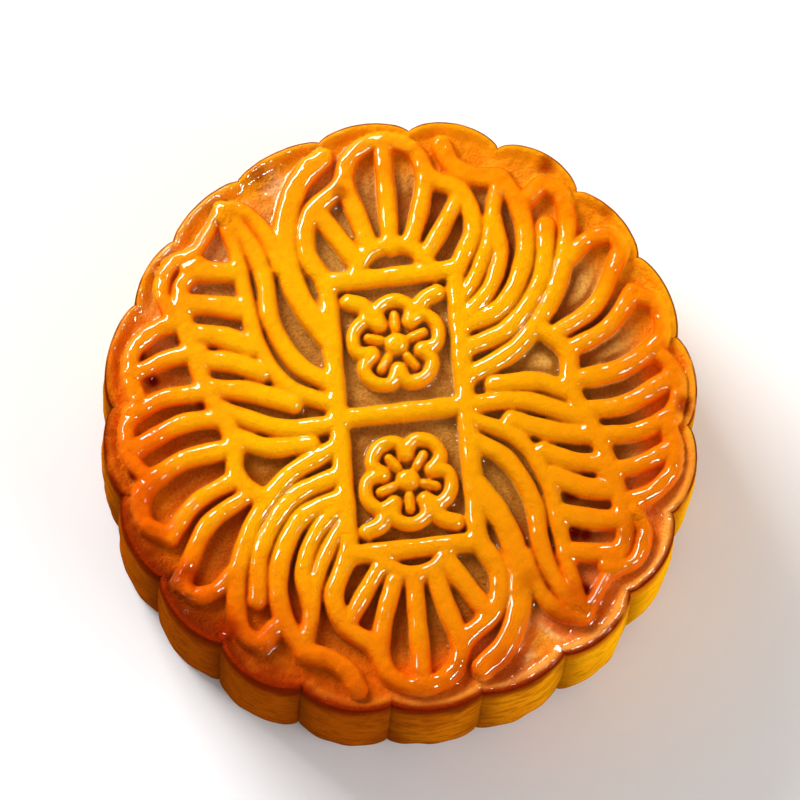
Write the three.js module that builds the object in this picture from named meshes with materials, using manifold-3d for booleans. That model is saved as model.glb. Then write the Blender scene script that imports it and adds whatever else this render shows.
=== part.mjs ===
// A round moulded mooncake with scalloped sides. Its top carries a raised ornament: an upright
// frame with two blossoms in it, and round the frame fans, petals, leaves and curved strands.
// Millimetres, +Z up, origin at the middle of the flat base, +Y along the frame's long side.
import * as THREE from "three";
import { ParametricGeometry } from "three/addons/geometries/ParametricGeometry.js";
import { mergeVertices } from "three/addons/utils/BufferGeometryUtils.js";
import Module from "manifold-3d";

// ---- Driving dimensions ----
const RIM_RADIUS = 37.6; // of the round that the lobes stand on
const CAKE_HEIGHT = 33;
const RELIEF_HEIGHT = 2.2; // ridges above the floor between them
const FLOOR_Z = CAKE_HEIGHT - RELIEF_HEIGHT;

const RIM_OVAL = 0.2; // the round is this much longer at this angle, and as much narrower across it
const RIM_OVAL_ANGLE = THREE.MathUtils.degToRad(83.5);
const LOBE_COUNT = 20;
const LOBE_FACETS = 6; // round each lobe
const LOBE_ROUNDNESS = 0.62; // under 1 makes full lobes with narrow creases between them
const NOTCH_DEPTH = 1.15; // how far the crease between two lobes goes in
const NOTCH_ANGLE = THREE.MathUtils.degToRad(9.8); // of the first crease, from +X
const SQUEEZED_LOBE = { angle: 2.62, shift: 0.058, reach: 0.17 }; // radians: one crease is off its place
// How far each lobe stands out beyond the round, from the first crease on.
const LOBE_REACH = [
  0.0, 0.2, 0.7, 0.45, 0.0, -0.4, -0.3, -0.3, 0.3, 0.1, 0.2, 0.4, 0.6, 0.3, -0.1, -0.1, 0.5, 0.5, 0.4, 0.2,
];

const BELLY = 0.3; // the wall at half height beyond its ends
const BASE_FLARE = 0.3; // the wall's foot beyond its top
const BASE_SHIFT = { x: -0.4, y: 0.05 }; // the base lies this far off the top
const BASE_EDGE = 1.1; // rounding where the wall meets the base
const SHOULDER = 0.6; // rounding of the outer edge of the top
const LIP_HEIGHT = 1.3; // the rim above the floor
const LIP_WIDTH = 3.6;
const LIP_BEAD = 0.75; // the rim's last and steepest part
const LIP_BEAD_WIDTH = 1.3;
const CREASE_DIP = 0.5; // the rim is this much lower in the creases
const CREASE_WIDTH = 0.08; // a share of a lobe
const LIP_Z = FLOOR_Z + LIP_HEIGHT;

const STAMP_X = 0.3; // the stamp landed slightly off centre
const STAMP_Y = 0.475;
const STAMP_LEAN = 0.03; // and the dough drifted sideways, this much for each mm along the frame
const RIDGE_SPREAD = 0.35; // the baked ridges are this much wider than the strokes of the stamp
const RIDGE_ROOT = 0.7; // how far a ridge is sunk into the cake
const FACET_TURN = THREE.MathUtils.degToRad(25); // how far a ridge turns from one facet to the next
const NOSE_KNEE = { beyond: 0.8, fullness: 0.62 }; // shares of half a ridge's width and of its section

// ---- The ornament's strokes ----
const FRAME_HALF_WIDTH = 8.1; // to the middle of the bars
const FRAME_HALF_LENGTH = 17.4;
const FRAME_BAR = 2.3;

// A blossom is a heart, petals drawn as arcs with a ray in each, and two leaves.
const BLOSSOM = { middleY: 8.7, petals: 5, heart: 1.25, ring: 4.6, line: 1.6, ray: 1.0, leaf: 2.0 };
// Points of a petal and of a leaf: shares of the turn from one petal to the next, and of the ring.
const PETAL_POINTS = [[-0.5, 0.72], [-0.32, 1.1], [0, 1.22], [0.32, 1.1], [0.5, 0.72]];
const LEAF_POINTS = [[0.5, 1.12], [0.51, 1.45], [0.6, 1.78]];
const RAY_POINTS = [[0, 0.45], [0, 0.8]];

// Middle lines of the ridges in one half of the ornament, with each ridge's width. The other
// half is the same, turned half a turn about the middle of the frame.
const FAN = {
  middleRib: { width: 2.2, path: [[0.3, 21.2], [0.3, 34.2]] },
  leftInnerRib: { width: 2.4, path: [[-2.4, 21.3], [-3.5, 25.3], [-4.9, 29.6]] },
  leftOuterRib: { width: 2.4, path: [[-4.2, 19.8], [-6.2, 22.9], [-8.6, 26.6]] },
  rightInnerRib: { width: 2.2, path: [[2.8, 21.3], [4.3, 25.3], [5.5, 29.6]] },
  rightOuterRib: { width: 2.0, path: [[4.7, 19.7], [6.9, 22.8], [9.2, 26.2]] },
  leftLobe: { width: 2.4, path: [[-8.3, 17.6], [-10.3, 21.5], [-9.6, 26.1], [-5.2, 29.6]] },
  topLobe: { width: 2.2, path: [[-5.2, 29.6], [-3.8, 33.2], [0.3, 34.9], [4.3, 33.0], [5.6, 29.6]] },
};

const STRANDS = {
  first: { width: 1.9, path: [[8.6, 13.5], [10.6, 16.1], [12.7, 20.6], [13.7, 25.0], [14.7, 28.4]] },
  second: { width: 2.1, path: [[8.6, 10.9], [12.1, 14.2], [14.0, 18.8], [13.5, 23.0]] },
  third: {
    width: 2.4,
    path: [[8.6, 10.1], [13.6, 11.9], [16.6, 16.6], [17.4, 21.4], [16.6, 25.4], [15.0, 28.2]],
  },
  fourth: { width: 2.3, path: [[8.6, 7.1], [14.5, 9.3], [18.9, 15.0], [20.1, 21.7]] },
  hooked: {
    width: 2.3,
    path: [[8.6, 3.5], [15.0, 6.6], [20.0, 12.4], [22.7, 20.7], [22.2, 25.6], [20.1, 27.0], [18.3, 25.6]],
  },
};

const PETALS = {
  firstTip: { width: 2.0, path: [[22.8, 17.6], [25.2, 19.6], [28.0, 19.8], [29.4, 18.2]] },
  firstVein: { width: 2.1, path: [[20.4, 8.2], [25.5, 11.2], [29.4, 18.2]] },
  secondVein: { width: 2.1, path: [[21.4, 5.8], [26.7, 8.2], [30.3, 12.2]] },
  secondTip: { width: 2.2, path: [[30.3, 12.2], [33.3, 10.2], [33.6, 6.8], [32.3, 4.9]] },
  thirdVein: { width: 2.4, path: [[21.5, 1.9], [27.8, 2.7], [32.3, 4.9]] },
  thirdTip: { width: 2.0, path: [[32.3, 4.9], [34.5, 1.9], [34.8, -1.6], [33.8, -3.9]] },
  middleVein: { width: 2.3, path: [[22.6, -2.1], [27.8, -1.9], [34.3, 0.9]] },
  fourthVein: { width: 2.2, path: [[24.2, -5.5], [29.6, -5.4], [33.9, -3.9]] },
  stem: {
    width: 2.2,
    path: [[18.6, 8.6], [21.4, 5.6], [21.5, 0.8], [24.4, -6.2], [26.6, -15.6], [26.4, -19.2], [24.0, -21.9]],
  },
  upperRoot: { width: 2.3, path: [[11.8, 2.5], [17.2, 2.3], [21.0, 0.7]] },
  lowerRoot: { width: 2.2, path: [[8.6, 0.3], [15.0, 0.1], [22.3, -2.9]] },
};

const LEAF = {
  outerEdge: {
    width: 2.9,
    path: [[-7.4, 33.4], [-10.2, 31.1], [-12.3, 26.9], [-12.9, 22.0], [-12.3, 17.6], [-10.8, 14.0], [-8.6, 10.6]],
  },
  fold: { width: 2.0, path: [[-20.5, 28.3], [-17.9, 27.7], [-15.6, 25.1], [-14.4, 22.2], [-13.8, 20.0]] },
  innerEdge: {
    width: 2.2,
    path: [[-19.8, 27.3], [-17.2, 23.1], [-15.9, 18.6], [-15.5, 13.4], [-12.6, 7.5], [-8.6, 4.6]],
  },
  midrib: {
    width: 1.9,
    path: [[-20.6, 27.9], [-19.2, 22.2], [-18.4, 16.3], [-17.5, 11.0], [-14.4, 5.2], [-8.6, 1.8]],
  },
  tip: { width: 1.4, path: [[-24.6, 22.6], [-22.9, 24.9], [-21.0, 27.8]] },
  firstBar: { width: 2.5, path: [[-25.2, 21.0], [-22.5, 20.5], [-19.3, 20.0]] },
  secondBar: { width: 2.6, path: [[-26.2, 16.7], [-22.6, 16.2], [-18.9, 15.2]] },
  thirdBar: { width: 2.6, path: [[-25.8, 12.9], [-22.0, 12.1], [-18.2, 10.3]] },
  fourthBar: { width: 2.4, path: [[-24.8, 9.4], [-21.0, 8.7], [-17.2, 7.0]] },
  fifthBar: { width: 2.4, path: [[-23.4, 5.6], [-19.0, 4.7], [-13.6, 2.6]] },
  crescent: { width: 1.9, path: [[-24.6, 22.9], [-27.6, 21.9], [-29.0, 18.8], [-28.0, 15.4]] },
  fifthTip: { width: 2.2, path: [[-26.6, 14.6], [-30.2, 13.8], [-33.2, 11.2], [-33.7, 8.0], [-33.0, 5.2]] },
  fifthVein: { width: 2.1, path: [[-24.8, 10.5], [-29.0, 10.0], [-32.9, 8.6]] },
};

const PETALS_DROP = 0.3; // the petals of both halves landed this much lower

// Strokes that came out differently in the two halves; both are given as for the first half.
const FIRST_HALF = {
  hub: { width: 2.0, path: [[-4.3, 18.4], [-2.6, 20.7], [0.2, 21.4], [3.0, 20.7], [4.8, 18.4]] },
  rightLobe: { width: 2.3, path: [[5.6, 29.6], [9.8, 26.9], [10.9, 22.4], [8.6, 17.6]] },
  tendril: { width: 2.5, path: [[7.8, 33.3], [8.9, 30.8], [11.4, 29.1], [14.6, 28.4]] },
};

const SECOND_HALF = {
  hub: { width: 2.0, path: [[-4.1, 18.2], [-2.7, 20.0], [0.1, 20.7], [3.0, 19.6], [4.8, 17.8]] },
  rightLobe: { width: 2.3, path: [[5.6, 29.3], [9.0, 26.5], [10.5, 22.6], [8.5, 17.6]] },
  tendril: { width: 2.5, path: [[8.6, 34.2], [9.4, 32.2], [11.4, 30.3], [14.8, 28.9]] },
};

const CRUST = { color: 0xe8960f, roughness: 0.32, metalness: 0 };

// ---- Joining and cutting ----
const wasm = await Module();
wasm.setup();

function toSolid(geometry) {
  geometry.deleteAttribute("normal");
  geometry.deleteAttribute("uv");
  const merged = mergeVertices(geometry, 1e-4);
  const corners = merged.index.array;
  const triVerts = [];
  for (let i = 0; i < corners.length; i += 3) {
    const [a, b, c] = corners.subarray(i, i + 3);
    if (a !== b && b !== c && c !== a) triVerts.push(a, b, c);
  }
  const mesh = new wasm.Mesh({
    numProp: 3,
    vertProperties: Float32Array.from(merged.attributes.position.array),
    triVerts: Uint32Array.from(triVerts),
  });
  return new wasm.Manifold(mesh);
}

// A solid of the ornament, moved and leant as the stamp left it.
function toStampedSolid(geometry) {
  const stamped = new THREE.Matrix4().makeTranslation(STAMP_X, STAMP_Y, 0);
  stamped.multiply(new THREE.Matrix4().makeShear(0, 0, STAMP_LEAN, 0, 0, 0));
  return toSolid(geometry.applyMatrix4(stamped));
}

function toGeometry(solid) {
  const mesh = solid.getMesh();
  const geometry = new THREE.BufferGeometry();
  geometry.setAttribute("position", new THREE.BufferAttribute(mesh.vertProperties, 3));
  geometry.setIndex(new THREE.BufferAttribute(mesh.triVerts, 1));
  return geometry;
}

// ---- The cake itself ----
// The lobe that an angle falls in, counted from the first crease. A whole number is a crease.
function lobePhase(angle) {
  const away = Math.atan2(Math.sin(angle - SQUEEZED_LOBE.angle), Math.cos(angle - SQUEEZED_LOBE.angle));
  const drift = SQUEEZED_LOBE.shift * Math.exp(-((away / SQUEEZED_LOBE.reach) ** 2));
  return ((angle + drift - NOTCH_ANGLE) * LOBE_COUNT) / (2 * Math.PI);
}

// How far the cake's outline lies outside the round.
function outlineOffset(angle) {
  const phase = lobePhase(angle);
  const fullness = Math.abs(Math.sin(Math.PI * phase)) ** LOBE_ROUNDNESS;
  const lobe = THREE.MathUtils.euclideanModulo(Math.floor(phase), LOBE_COUNT);
  const oval = RIM_OVAL * Math.cos(2 * (angle - RIM_OVAL_ANGLE));
  return oval + LOBE_REACH[lobe] * fullness - NOTCH_DEPTH * (1 - fullness);
}

// How far the rim is let down at an angle: only in the creases.
function creaseDip(angle) {
  const phase = lobePhase(angle);
  return CREASE_DIP * Math.exp(-(((phase - Math.round(phase)) / CREASE_WIDTH) ** 2));
}

// Gives a round body the cake's lobes, which fade out towards the middle, and its shifted base.
function addLobes(geometry) {
  const { smoothstep, clamp } = THREE.MathUtils;
  const position = geometry.attributes.position;
  for (let i = 0; i < position.count; i++) {
    const [x, y, z] = [position.getX(i), position.getY(i), position.getZ(i)];
    const radius = Math.hypot(x, y);
    const angle = Math.atan2(y, x);
    const outward = smoothstep(radius, RIM_RADIUS - 2 * LIP_WIDTH, RIM_RADIUS - SHOULDER);
    const scale = 1 + (outward * outlineOffset(angle)) / Math.max(radius, 1);
    const down = clamp(1 - z / (LIP_Z - SHOULDER), 0, 1);
    const onRim = down === 0 && radius > RIM_RADIUS - SHOULDER - 0.01;
    const dip = onRim ? creaseDip(angle) : 0;
    position.setXYZ(i, x * scale + BASE_SHIFT.x * down, y * scale + BASE_SHIFT.y * down, z - dip);
  }
  return geometry;
}

// A lathed body from a profile of [radius, z] pairs that starts and ends on the axis.
function lathe(profile) {
  const points = profile.map(([radius, z]) => new THREE.Vector2(radius, z));
  const geometry = new THREE.LatheGeometry(points, LOBE_COUNT * LOBE_FACETS);
  geometry.rotateX(Math.PI / 2);
  geometry.rotateZ(NOTCH_ANGLE);
  return toSolid(addLobes(geometry));
}

// The wall from its rounded foot up to the given height, with a slight belly.
function wallProfile(topZ, rows) {
  const wall = [];
  for (let row = 0; row <= rows; row++) {
    const z = THREE.MathUtils.lerp(BASE_EDGE, topZ, row / rows);
    const down = 1 - z / topZ;
    wall.push([RIM_RADIUS + BASE_FLARE * down + BELLY * (1 - (2 * down - 1) ** 2), z]);
  }
  return [[0, 0], [wall[0][0] - BASE_EDGE, 0], ...wall];
}

function cakeBody() {
  const inner = RIM_RADIUS - SHOULDER;
  const dishAtBead = (LIP_HEIGHT - LIP_BEAD) * (1 - LIP_BEAD_WIDTH / LIP_WIDTH) ** 2;
  return lathe([
    ...wallProfile(LIP_Z - SHOULDER, 2),
    [RIM_RADIUS - 0.3 * SHOULDER, LIP_Z - 0.3 * SHOULDER],
    [inner, LIP_Z],
    [inner - LIP_BEAD_WIDTH, FLOOR_Z + dishAtBead],
    [inner - LIP_WIDTH, FLOOR_Z],
    [0, FLOOR_Z],
  ]);
}

// The space that the ornament stays in: the cake's outline, rounded off at the top.
function ornamentSpace() {
  const foot = FLOOR_Z - RIDGE_ROOT - 0.3;
  const edge = RIM_RADIUS - 0.25 * SHOULDER;
  return lathe([
    [0, foot],
    [edge, foot],
    [edge, LIP_Z - 0.3 * SHOULDER],
    [edge - 1.2, CAKE_HEIGHT + 0.1],
    [0, CAKE_HEIGHT + 0.5],
  ]);
}

// ---- The ornament ----
// Half of a ridge's section, from its buried root to its crown: [share of half width, height].
const RIDGE_SECTION = [
  [1.12, -RIDGE_ROOT],
  [0.6, RELIEF_HEIGHT],
];

// The section as a closed ring, up the left side and down the right side.
function sectionRing() {
  const left = RIDGE_SECTION.map(([share, z]) => [share, z]);
  const right = RIDGE_SECTION.map(([share, z]) => [-share, z]).reverse();
  return [...left, ...right];
}

// How many facets a curve needs along its length.
function facetsAlong(curve) {
  const samples = 24;
  let turn = 0;
  for (let i = 0; i < samples; i++) {
    turn += curve.getTangentAt(i / samples).angleTo(curve.getTangentAt((i + 1) / samples));
  }
  return 1 + Math.round(turn / FACET_TURN);
}

// A ridge along a curve, with a round nose beyond each of its ends.
function ridge(curve, width) {
  const half = (width + RIDGE_SPREAD) / 2;
  const facets = facetsAlong(curve);
  const stations = [[0, -1, 0], [0, -NOSE_KNEE.beyond, NOSE_KNEE.fullness]];
  for (let i = 0; i <= facets; i++) stations.push([i / facets, 0, 1]);
  stations.push([1, NOSE_KNEE.beyond, NOSE_KNEE.fullness], [1, 1, 0]);
  const ring = sectionRing();
  const place = (u, v, target) => {
    const [along, beyond, fullness] = stations[Math.round(v * (stations.length - 1))];
    const [share, z] = ring[Math.round(u * ring.length) % ring.length];
    const tangent = curve.getTangentAt(along);
    const middle = curve.getPointAt(along).addScaledVector(tangent, beyond * half);
    const across = share * fullness * half;
    const up = Math.sqrt(fullness) * (RIDGE_ROOT + z) - RIDGE_ROOT;
    target.set(middle.x - tangent.y * across, middle.y + tangent.x * across, FLOOR_Z + up);
  };
  return toStampedSolid(new ParametricGeometry(place, ring.length, stations.length - 1));
}

// A ridge along a path of [x, y] points, which can be turned half a turn (-1) and let down.
function stroke(path, width, turn = 1, drop = 0) {
  const points = path.map(([x, y]) => new THREE.Vector3(turn * x, turn * y - drop, 0));
  if (points.length === 2) return ridge(new THREE.LineCurve3(...points), width);
  return ridge(new THREE.CatmullRomCurve3(points, false, "centripetal"), width);
}

// The strokes of one half of the ornament, round the frame.
function half(turn, own) {
  return [FAN, STRANDS, PETALS, LEAF, own].flatMap((group) => {
    const drop = group === PETALS ? PETALS_DROP : 0;
    return Object.values(group).map(({ width, path }) => stroke(path, width, turn, drop));
  });
}

// The frame's four bars, and a fifth that parts it into two panels.
function frame() {
  const [x, y] = [FRAME_HALF_WIDTH, FRAME_HALF_LENGTH];
  const across = [-y, 0, y].map((at) => [[-x, at], [x, at]]);
  const upright = [-x, x].map((at) => [[at, -y], [at, y]]);
  return [...across, ...upright].map((bar) => stroke(bar, FRAME_BAR));
}

function heart(y) {
  const radius = BLOSSOM.heart + RIDGE_SPREAD / 2;
  const geometry = new THREE.SphereGeometry(1, 10, 6);
  geometry.rotateX(Math.PI / 2);
  geometry.scale(radius, radius, RELIEF_HEIGHT);
  geometry.translate(0, y, FLOOR_Z);
  return toStampedSolid(geometry);
}

// The blossom of one panel. Its first petal and its leaves point away from the frame's middle.
function blossom(side) {
  const middleY = side * BLOSSOM.middleY;
  const step = (2 * Math.PI) / BLOSSOM.petals;
  const drawn = (points, petal, width, flip = 1) => {
    const path = points.map(([share, reach]) => {
      const angle = (side * Math.PI) / 2 + (petal + flip * share) * step;
      const radius = reach * BLOSSOM.ring;
      return [radius * Math.cos(angle), middleY + radius * Math.sin(angle)];
    });
    return stroke(path, width);
  };
  const solids = [heart(middleY), drawn(LEAF_POINTS, 0, BLOSSOM.leaf), drawn(LEAF_POINTS, 0, BLOSSOM.leaf, -1)];
  for (let petal = 0; petal < BLOSSOM.petals; petal++) {
    solids.push(drawn(PETAL_POINTS, petal, BLOSSOM.line), drawn(RAY_POINTS, petal, BLOSSOM.ray));
  }
  return solids;
}

// Everything that stands up from the top.
function ornament() {
  const pieces = [...frame(), ...blossom(1), ...blossom(-1), ...half(1, FIRST_HALF), ...half(-1, SECOND_HALF)];
  return pieces.reduce((all, piece) => all.add(piece)).intersect(ornamentSpace());
}

function mooncake() {
  const geometry = toGeometry(cakeBody().add(ornament()));
  geometry.computeBoundingBox();
  const middle = geometry.boundingBox.getCenter(new THREE.Vector3());
  geometry.translate(-middle.x, -middle.y, 0);
  const mesh = new THREE.Mesh(geometry, new THREE.MeshStandardMaterial(CRUST));
  mesh.name = "mooncake";
  return mesh;
}

const part = new THREE.Group();
part.add(mooncake());

export default part;
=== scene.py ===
"""A glazed, baked mooncake on a pale floor.

The cake is one mesh. Its top is a height field over the ridges of the moulded ornament, sampled
along the ridges so that their crowns and feet are followed closely. The wall hangs from the
outline of the top, and a flat base closes it. Sizes are in millimetres, in the CAD model's frame.
"""
import math

import bpy
import numpy as np
from mathutils import Matrix, Vector, geometry


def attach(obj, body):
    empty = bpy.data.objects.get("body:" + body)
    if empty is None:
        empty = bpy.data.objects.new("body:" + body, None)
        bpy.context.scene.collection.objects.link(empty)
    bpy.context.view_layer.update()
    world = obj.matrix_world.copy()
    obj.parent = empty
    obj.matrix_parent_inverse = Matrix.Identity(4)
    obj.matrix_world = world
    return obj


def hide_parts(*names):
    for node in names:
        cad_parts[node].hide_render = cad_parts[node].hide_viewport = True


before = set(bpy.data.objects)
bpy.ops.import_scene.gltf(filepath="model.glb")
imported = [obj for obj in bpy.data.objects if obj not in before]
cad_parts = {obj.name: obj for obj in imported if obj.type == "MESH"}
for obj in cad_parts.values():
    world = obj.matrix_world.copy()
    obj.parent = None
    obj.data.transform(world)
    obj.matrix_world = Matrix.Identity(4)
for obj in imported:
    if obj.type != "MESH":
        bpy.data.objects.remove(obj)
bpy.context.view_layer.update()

# ---- Sizes, in millimetres ----
MM = 0.001
CAKE_HEIGHT = 33.0
RELIEF_HEIGHT = 2.2
FLOOR_Z = CAKE_HEIGHT - RELIEF_HEIGHT

RIM_RADIUS = 37.6
RIM_OVAL = 0.2
RIM_OVAL_ANGLE = math.radians(83.5)
LOBE_COUNT = 20
NOTCH_DEPTH = 1.15
NOTCH_ANGLE = math.radians(9.8)
LOBE_ROUNDNESS = 0.62
SQUEEZED_LOBE = {"angle": 2.62, "shift": 0.058, "reach": 0.17}
LOBE_REACH = [
    0.0, 0.2, 0.7, 0.45, 0.0, -0.4, -0.3, -0.3, 0.3, 0.1,
    0.2, 0.4, 0.6, 0.3, -0.1, -0.1, 0.5, 0.5, 0.4, 0.2,
]

# The wall, from a little bulge half way down to the rounded foot.
BELLY = 0.3
BASE_FLARE = 0.3
BASE_SHIFT = (-0.4, 0.05)
BASE_EDGE = 1.1

# The rim: a dish that rises from the floor, and a bead along its edge that dips at the creases.
LIP_HEIGHT = 1.3
LIP_WIDTH = 3.6
LIP_BEAD = 0.75
LIP_BEAD_WIDTH = 1.3
SHOULDER = 0.6
SHOULDER_START = RIM_RADIUS - SHOULDER
LIP_Z = FLOOR_Z + LIP_HEIGHT
CREASE_DIP = 0.5

# Half widths of the dip and of the painted shade at a crease, as shares of a lobe.
CREASE_WIDTH = 0.08
CREASE_SHADE_WIDTH = 0.17

# The middle of the finished cake's bounding box, which is brought to the origin.
CENTRE = (-0.182, 0.074)

# How far off the middle, and how slanted, the mould pressed the ornament.
STAMP_X = 0.3
STAMP_Y = 0.475
STAMP_LEAN = 0.03

FRAME_HALF_WIDTH = 8.1
FRAME_HALF_LENGTH = 17.4
FRAME_BAR = 2.3

# ---- The ornament ----
# Each ridge's width and the points that its middle line goes through, for one half of the ornament.
# The other half is the same, turned half a turn about the middle of the frame, except that the
# petals lie PETALS_DROP lower in both.
FAN = {
    "middle_rib": (2.2, [(0.3, 21.2), (0.3, 34.2)]),
    "left_inner_rib": (2.4, [(-2.4, 21.3), (-3.5, 25.3), (-4.9, 29.6)]),
    "left_outer_rib": (2.4, [(-4.2, 19.8), (-6.2, 22.9), (-8.6, 26.6)]),
    "right_inner_rib": (2.2, [(2.8, 21.3), (4.3, 25.3), (5.5, 29.6)]),
    "right_outer_rib": (2.0, [(4.7, 19.7), (6.9, 22.8), (9.2, 26.2)]),
    "left_lobe": (2.4, [(-8.3, 17.6), (-10.3, 21.5), (-9.6, 26.1), (-5.2, 29.6)]),
    "top_lobe": (2.2, [(-5.2, 29.6), (-3.8, 33.2), (0.3, 34.9), (4.3, 33.0), (5.6, 29.6)]),
}
STRANDS = {
    "first": (1.9, [(8.6, 13.5), (10.6, 16.1), (12.7, 20.6), (13.7, 25.0), (14.7, 28.4)]),
    "second": (2.1, [(8.6, 10.9), (12.1, 14.2), (14.0, 18.8), (13.5, 23.0)]),
    "third": (2.4, [(8.6, 10.1), (13.6, 11.9), (16.6, 16.6), (17.4, 21.4), (16.6, 25.4), (15.0, 28.2)]),
    "fourth": (2.3, [(8.6, 7.1), (14.5, 9.3), (18.9, 15.0), (20.1, 21.7)]),
    "hooked": (
        2.3,
        [(8.6, 3.5), (15.0, 6.6), (20.0, 12.4), (22.7, 20.7), (22.2, 25.6), (20.1, 27.0), (18.3, 25.6)],
    ),
}
PETALS = {
    "first_tip": (2.0, [(22.8, 17.6), (25.2, 19.6), (28.0, 19.8), (29.4, 18.2)]),
    "first_vein": (2.1, [(20.4, 8.2), (25.5, 11.2), (29.4, 18.2)]),
    "second_vein": (2.1, [(21.4, 5.8), (26.7, 8.2), (30.3, 12.2)]),
    "second_tip": (2.2, [(30.3, 12.2), (33.3, 10.2), (33.6, 6.8), (32.3, 4.9)]),
    "third_vein": (2.4, [(21.5, 1.9), (27.8, 2.7), (32.3, 4.9)]),
    "third_tip": (2.0, [(32.3, 4.9), (34.5, 1.9), (34.8, -1.6), (33.8, -3.9)]),
    "middle_vein": (2.3, [(22.6, -2.1), (27.8, -1.9), (34.3, 0.9)]),
    "fourth_vein": (2.2, [(24.2, -5.5), (29.6, -5.4), (33.9, -3.9)]),
    "stem": (
        2.2,
        [
            (18.6, 8.6), (21.4, 5.6), (21.5, 0.8), (24.4, -6.2),
            (26.6, -15.6), (26.4, -19.2), (24.0, -21.9),
        ],
    ),
    "upper_root": (2.3, [(11.8, 2.5), (17.2, 2.3), (21.0, 0.7)]),
    "lower_root": (2.2, [(8.6, 0.3), (15.0, 0.1), (22.3, -2.9)]),
}
LEAF = {
    "outer_edge": (
        2.9,
        [
            (-7.4, 33.4), (-10.2, 31.1), (-12.3, 26.9), (-12.9, 22.0),
            (-12.3, 17.6), (-10.8, 14.0), (-8.6, 10.6),
        ],
    ),
    "fold": (2.0, [(-20.5, 28.3), (-17.9, 27.7), (-15.6, 25.1), (-14.4, 22.2), (-13.8, 20.0)]),
    "inner_edge": (
        2.2,
        [(-19.8, 27.3), (-17.2, 23.1), (-15.9, 18.6), (-15.5, 13.4), (-12.6, 7.5), (-8.6, 4.6)],
    ),
    "midrib": (
        1.9,
        [(-20.6, 27.9), (-19.2, 22.2), (-18.4, 16.3), (-17.5, 11.0), (-14.4, 5.2), (-8.6, 1.8)],
    ),
    "tip": (1.4, [(-24.6, 22.6), (-22.9, 24.9), (-21.0, 27.8)]),
    "first_bar": (2.5, [(-25.2, 21.0), (-22.5, 20.5), (-19.3, 20.0)]),
    "second_bar": (2.6, [(-26.2, 16.7), (-22.6, 16.2), (-18.9, 15.2)]),
    "third_bar": (2.6, [(-25.8, 12.9), (-22.0, 12.1), (-18.2, 10.3)]),
    "fourth_bar": (2.4, [(-24.8, 9.4), (-21.0, 8.7), (-17.2, 7.0)]),
    "fifth_bar": (2.4, [(-23.4, 5.6), (-19.0, 4.7), (-13.6, 2.6)]),
    "crescent": (1.9, [(-24.6, 22.9), (-27.6, 21.9), (-29.0, 18.8), (-28.0, 15.4)]),
    "fifth_tip": (2.2, [(-26.6, 14.6), (-30.2, 13.8), (-33.2, 11.2), (-33.7, 8.0), (-33.0, 5.2)]),
    "fifth_vein": (2.1, [(-24.8, 10.5), (-29.0, 10.0), (-32.9, 8.6)]),
}
# Strokes that came out differently in the two halves; both are given as for the first half.
FIRST_HALF = {
    "hub": (2.0, [(-4.3, 18.4), (-2.6, 20.7), (0.2, 21.4), (3.0, 20.7), (4.8, 18.4)]),
    "right_lobe": (2.3, [(5.6, 29.6), (9.8, 26.9), (10.9, 22.4), (8.6, 17.6)]),
    "tendril": (2.5, [(7.8, 33.3), (8.9, 30.8), (11.4, 29.1), (14.6, 28.4)]),
}
SECOND_HALF = {
    "hub": (2.0, [(-4.1, 18.2), (-2.7, 20.0), (0.1, 20.7), (3.0, 19.6), (4.8, 17.8)]),
    "right_lobe": (2.3, [(5.6, 29.3), (9.0, 26.5), (10.5, 22.6), (8.5, 17.6)]),
    "tendril": (2.5, [(8.6, 34.2), (9.4, 32.2), (11.4, 30.3), (14.8, 28.9)]),
}
PETALS_DROP = 0.3

# The plain blossom in each panel of the frame. The paths of a petal and a leaf are given by shares of
# a petal's angle and of the ring's radius, and a ray's ends by shares of the ring's radius.
BLOSSOM = {
    "middle_y": 8.7, "petals": 5, "ring": 4.6,
    "heart": 2.5, "heart_half_length": 0.2, "line": 1.6, "ray": 1.0, "leaf": 2.0,
}
PETAL_PATH = ((-0.5, 0.72), (-0.32, 1.1), (0, 1.22), (0.32, 1.1), (0.5, 0.72))
RAY_ENDS = (0.45, 0.8)
LEAF_PATH = ((1, 1.12), (1.02, 1.45), (1.2, 1.78))

# ---- Marks of the bake ----
# Egg wash that pooled in the low places and baked dark: place, radius and strength.
POOLS = [
    (15.1, -18.9, 1.2, 1.0), (15.2, -20.2, 1.2, 1.0), (15.5, -21.8, 1.2, 1.0), (16.0, -23.5, 1.4, 1.0),
    (16.5, -25.1, 1.2, 1.0), (27.6, -16.2, 1.2, 1.0), (27.4, -17.7, 1.2, 1.0), (25.2, -21.3, 1.5, 1.0),
    (20.3, -12.3, 1.4, 0.9), (20.1, -17.0, 1.5, 1.0), (21.4, -17.5, 1.2, 1.0), (20.6, -24.4, 1.2, 1.0),
    (-31.9, 11.5, 1.3, 1.0), (-31.3, 8.7, 1.2, 1.0), (-30.4, 8.0, 1.2, 1.0), (-26.3, 12.9, 1.1, 1.0),
    (-24.7, 4.8, 1.2, 1.0), (-24.8, 9.5, 1.1, 0.9), (-34.0, -3.5, 1.3, 1.0), (-14.1, 21.3, 1.0, 0.7),
    (32.8, 4.7, 1.2, 0.8), (33.8, 0.4, 1.1, 0.9), (32.9, -5.2, 1.2, 0.9),
]
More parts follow.
